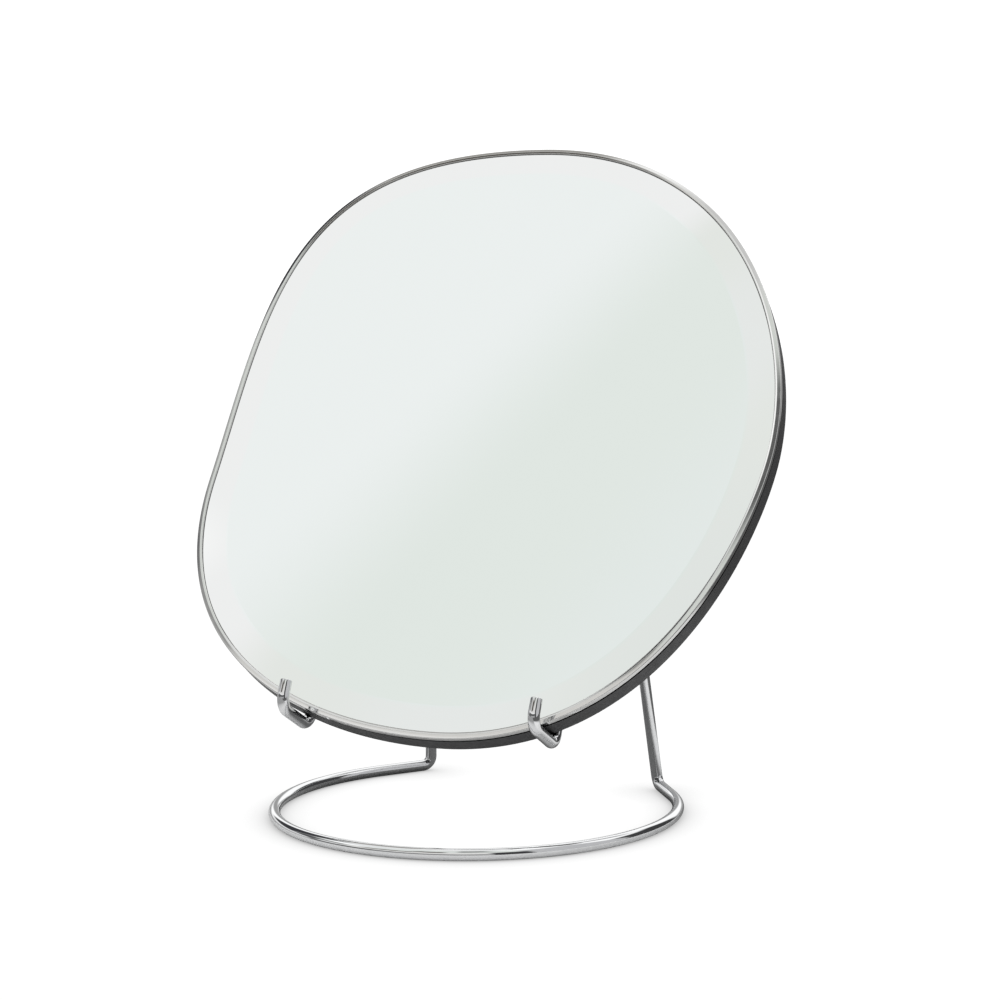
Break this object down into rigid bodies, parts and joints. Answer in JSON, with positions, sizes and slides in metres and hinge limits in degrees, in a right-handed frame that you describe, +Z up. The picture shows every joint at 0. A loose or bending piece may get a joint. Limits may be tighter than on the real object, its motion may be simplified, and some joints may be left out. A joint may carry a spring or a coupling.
{
  "type": "countertop mirror",
  "caption": "Lens-shaped bevelled mirror in a chrome rim and black back shell, leaning in the hooks of a bent chrome wire stand with a round base loop.",
  "frame": {"origin": "on the table under the middle of the object's overall box", "axes": "+Z up, the mirror faces -Y and leans back towards +Y, -X is the viewer's left"},
  "size_m": [0.2572, 0.2122, 0.285],
  "materials": {
    "stand_chrome": "polished chrome plate on bent steel wire",
    "silvered_glass": "clear bevelled glass, silvered on the back",
    "rim_chrome": "polished chrome rim strip with a rounded front",
    "black_plastic": "satin black moulded plastic",
    "grey_foam": "closed-cell foam sheet"
  },
  "bodies": {
    "stand": {"base_loop": "stand_chrome", "left_rear_leg": "stand_chrome", "right_rear_leg": "stand_chrome", "left_upright": "stand_chrome", "right_upright": "stand_chrome", "left_hook": "stand_chrome", "right_hook": "stand_chrome"},
    "mirror": {"mirror_glass": "silvered_glass", "trim_ring": "rim_chrome", "back_shell": "black_plastic", "backing_pad": "grey_foam"}
  },
  "joints": [
    {"name": "mirror_lift", "type": "slide", "parent": "stand", "child": "mirror", "axis": [0, 0.5906, 0.807], "range_m": [0, 0.03]}
  ]
}
